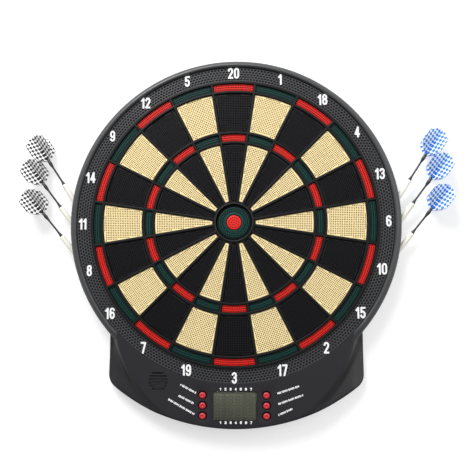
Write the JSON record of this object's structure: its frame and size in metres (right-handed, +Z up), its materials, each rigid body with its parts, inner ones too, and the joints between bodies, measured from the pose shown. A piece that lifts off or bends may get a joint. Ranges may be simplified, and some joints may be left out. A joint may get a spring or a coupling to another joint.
{
  "type": "electronic dartboard",
  "caption": "Round soft-tip electronic dartboard with a display console below the target and darts stowed in its sides.",
  "frame": {"origin": "on the bull's axis, on the plane of the wall that the rear cover hangs against", "axes": "-Y towards the player, +Y into the wall, +Z up (20 at the top), +X to the right as the player sees the board"},
  "size_m": [0.5252, 0.0324, 0.4435],
  "materials": {
    "case_black": "satin moulded black",
    "rear_black": "fine textured black",
    "screw_steel": "zinc plated",
    "spider_black": "satin black",
    "segment_black": "satin, pinholed",
    "segment_cream": "satin, pinholed",
    "segment_green": "satin, pinholed",
    "segment_red": "satin, pinholed",
    "membrane_film": "printed polyester film",
    "foam_grey": "closed-cell foam",
    "fibreboard": "hardboard",
    "circuit_green": "solder mask",
    "lcd_glass": "grey-green display glass",
    "window_clear": "clear",
    "silicone_grey": "matt",
    "speaker_metal": "dull",
    "button_red": "semi-gloss red",
    "battery_jacket": "plain sleeve",
    "contact_steel": "nickel plated",
    "dart_ivory": "ivory",
    "flight_black": "white film with a black check",
    "flight_blue": "white film with a blue check"
  },
  "bodies": {
    "case": {"front_cover": "case_black", "rear_cover": "rear_black", "cover_screw_1": "screw_steel", "cover_screw_2": "screw_steel", "cover_screw_3": "screw_steel", "spider": "spider_black", "sensor_membrane": "membrane_film", "foam_pad": "foam_grey", "backing_board": "fibreboard", "main_board": "circuit_green", "lcd_panel": "lcd_glass", "lcd_window": "window_clear", "keypad_mat": "silicone_grey", "speaker": "speaker_metal", "battery_1": "battery_jacket", "battery_2": "battery_jacket", "battery_3": "battery_jacket", "contact_springs": "contact_steel", "contact_plate": "contact_steel"},
    "number_20": {"insert_20": "segment_black"},
    "number_1": {"insert_1": "segment_cream"},
    "number_18": {"insert_18": "segment_black"},
    "number_4": {"insert_4": "segment_cream"},
    "number_13": {"insert_13": "segment_black"},
    "number_6": {"insert_6": "segment_cream"},
    "number_10": {"insert_10": "segment_black"},
    "number_15": {"insert_15": "segment_cream"},
    "number_2": {"insert_2": "segment_black"},
    "number_17": {"insert_17": "segment_cream"},
    "number_3": {"insert_3": "segment_black"},
    "number_19": {"insert_19": "segment_cream"},
    "number_7": {"insert_7": "segment_black"},
    "number_16": {"insert_16": "segment_cream"},
    "number_8": {"insert_8": "segment_black"},
    "number_11": {"insert_11": "segment_cream"},
    "number_14": {"insert_14": "segment_black"},
    "number_9": {"insert_9": "segment_cream"},
    "number_12": {"insert_12": "segment_black"},
    "number_5": {"insert_5": "segment_cream"},
    "outer_bull": {"outer_bull": "segment_green"},
    "inner_bull": {"inner_bull": "segment_red"},
    "button_1": {"button_1": "button_red"},
    "button_2": {"button_2": "button_red"},
    "button_3": {"button_3": "button_red"},
    "button_4": {"button_4": "button_red"},
    "button_5": {"button_5": "button_red"},
    "button_6": {"button_6": "button_red"},
    "dart_1": {"dart_1": "dart_ivory", "dart_1_flight": "flight_black"},
    "dart_2": {"dart_2": "dart_ivory", "dart_2_flight": "flight_black"},
    "dart_3": {"dart_3": "dart_ivory", "dart_3_flight": "flight_black"},
    "dart_4": {"dart_4": "dart_ivory", "dart_4_flight": "flight_blue"},
    "dart_5": {"dart_5": "dart_ivory", "dart_5_flight": "flight_blue"},
    "dart_6": {"dart_6": "dart_ivory", "dart_6_flight": "flight_blue"},
    "battery_door": {"battery_door": "rear_black"}
  },
  "joints": [
    {"name": "press_number_20", "type": "slide", "parent": "case", "child": "number_20", "axis": [0, 1, 0], "range_m": [0, 0.001], "stiffness_N_per_m": 600},
    {"name": "press_number_1", "type": "slide", "parent": "case", "child": "number_1", "axis": [0, 1, 0], "range_m": [0, 0.001], "stiffness_N_per_m": 600},
    {"name": "press_number_18", "type": "slide", "parent": "case", "child": "number_18", "axis": [0, 1, 0], "range_m": [0, 0.001], "stiffness_N_per_m": 600},
    {"name": "press_number_4", "type": "slide", "parent": "case", "child": "number_4", "axis": [0, 1, 0], "range_m": [0, 0.001], "stiffness_N_per_m": 600},
    {"name": "press_number_13", "type": "slide", "parent": "case", "child": "number_13", "axis": [0, 1, 0], "range_m": [0, 0.001], "stiffness_N_per_m": 600},
    {"name": "press_number_6", "type": "slide", "parent": "case", "child": "number_6", "axis": [0, 1, 0], "range_m": [0, 0.001], "stiffness_N_per_m": 600},
    {"name": "press_number_10", "type": "slide", "parent": "case", "child": "number_10", "axis": [0, 1, 0], "range_m": [0, 0.001], "stiffness_N_per_m": 600},
    {"name": "press_number_15", "type": "slide", "parent": "case", "child": "number_15", "axis": [0, 1, 0], "range_m": [0, 0.001], "stiffness_N_per_m": 600},
    {"name": "press_number_2", "type": "slide", "parent": "case", "child": "number_2", "axis": [0, 1, 0], "range_m": [0, 0.001], "stiffness_N_per_m": 600},
    {"name": "press_number_17", "type": "slide", "parent": "case", "child": "number_17", "axis": [0, 1, 0], "range_m": [0, 0.001], "stiffness_N_per_m": 600},
    {"name": "press_number_3", "type": "slide", "parent": "case", "child": "number_3", "axis": [0, 1, 0], "range_m": [0, 0.001], "stiffness_N_per_m": 600},
    {"name": "press_number_19", "type": "slide", "parent": "case", "child": "number_19", "axis": [0, 1, 0], "range_m": [0, 0.001], "stiffness_N_per_m": 600},
    {"name": "press_number_7", "type": "slide", "parent": "case", "child": "number_7", "axis": [0, 1, 0], "range_m": [0, 0.001], "stiffness_N_per_m": 600},
    {"name": "press_number_16", "type": "slide", "parent": "case", "child": "number_16", "axis": [0, 1, 0], "range_m": [0, 0.001], "stiffness_N_per_m": 600},
    {"name": "press_number_8", "type": "slide", "parent": "case", "child": "number_8", "axis": [0, 1, 0], "range_m": [0, 0.001], "stiffness_N_per_m": 600},
    {"name": "press_number_11", "type": "slide", "parent": "case", "child": "number_11", "axis": [0, 1, 0], "range_m": [0, 0.001], "stiffness_N_per_m": 600},
    {"name": "press_number_14", "type": "slide", "parent": "case", "child": "number_14", "axis": [0, 1, 0], "range_m": [0, 0.001], "stiffness_N_per_m": 600},
    {"name": "press_number_9", "type": "slide", "parent": "case", "child": "number_9", "axis": [0, 1, 0], "range_m": [0, 0.001], "stiffness_N_per_m": 600},
    {"name": "press_number_12", "type": "slide", "parent": "case", "child": "number_12", "axis": [0, 1, 0], "range_m": [0, 0.001], "stiffness_N_per_m": 600},
    {"name": "press_number_5", "type": "slide", "parent": "case", "child": "number_5", "axis": [0, 1, 0], "range_m": [0, 0.001], "stiffness_N_per_m": 600},
    {"name": "press_outer_bull", "type": "slide", "parent": "case", "child": "outer_bull", "axis": [0, 1, 0], "range_m": [0, 0.001], "stiffness_N_per_m": 600},
    {"name": "press_inner_bull", "type": "slide", "parent": "case", "child": "inner_bull", "axis": [0, 1, 0], "range_m": [0, 0.001], "stiffness_N_per_m": 600},
    {"name": "press_button_1", "type": "slide", "parent": "case", "child": "button_1", "axis": [0, 1, 0], "range_m": [0, 0.0012], "stiffness_N_per_m": 300},
    {"name": "press_button_2", "type": "slide", "parent": "case", "child": "button_2", "axis": [0, 1, 0], "range_m": [0, 0.0012], "stiffness_N_per_m": 300},
    {"name": "press_button_3", "type": "slide", "parent": "case", "child": "button_3", "axis": [0, 1, 0], "range_m": [0, 0.0012], "stiffness_N_per_m": 300},
    {"name": "press_button_4", "type": "slide", "parent": "case", "child": "button_4", "axis": [0, 1, 0], "range_m": [0, 0.0012], "stiffness_N_per_m": 300},
    {"name": "press_button_5", "type": "slide", "parent": "case", "child": "button_5", "axis": [0, 1, 0], "range_m": [0, 0.0012], "stiffness_N_per_m": 300},
    {"name": "press_button_6", "type": "slide", "parent": "case", "child": "button_6", "axis": [0, 1, 0], "range_m": [0, 0.0012], "stiffness_N_per_m": 300},
    {"name": "draw_dart_1", "type": "slide", "parent": "case", "child": "dart_1", "axis": [-0.5487, -0.0349, 0.8353], "range_m": [0, 0.045]},
    {"name": "draw_dart_2", "type": "slide", "parent": "case", "child": "dart_2", "axis": [-0.5931, -0.075, 0.8016], "range_m": [0, 0.045]},
    {"name": "draw_dart_3", "type": "slide", "parent": "case", "child": "dart_3", "axis": [-0.6248, -0.075, 0.7771], "range_m": [0, 0.045]},
    {"name": "draw_dart_4", "type": "slide", "parent": "case", "child": "dart_4", "axis": [0.5487, -0.0349, 0.8353], "range_m": [0, 0.045]},
    {"name": "draw_dart_5", "type": "slide", "parent": "case", "child": "dart_5", "axis": [0.5931, -0.075, 0.8016], "range_m": [0, 0.045]},
    {"name": "draw_dart_6", "type": "slide", "parent": "case", "child": "dart_6", "axis": [0.6248, -0.075, 0.7771], "range_m": [0, 0.045]},
    {"name": "lift_battery_door", "type": "slide", "parent": "case", "child": "battery_door", "axis": [0, 1, 0], "range_m": [0, 0.03]}
  ]
}
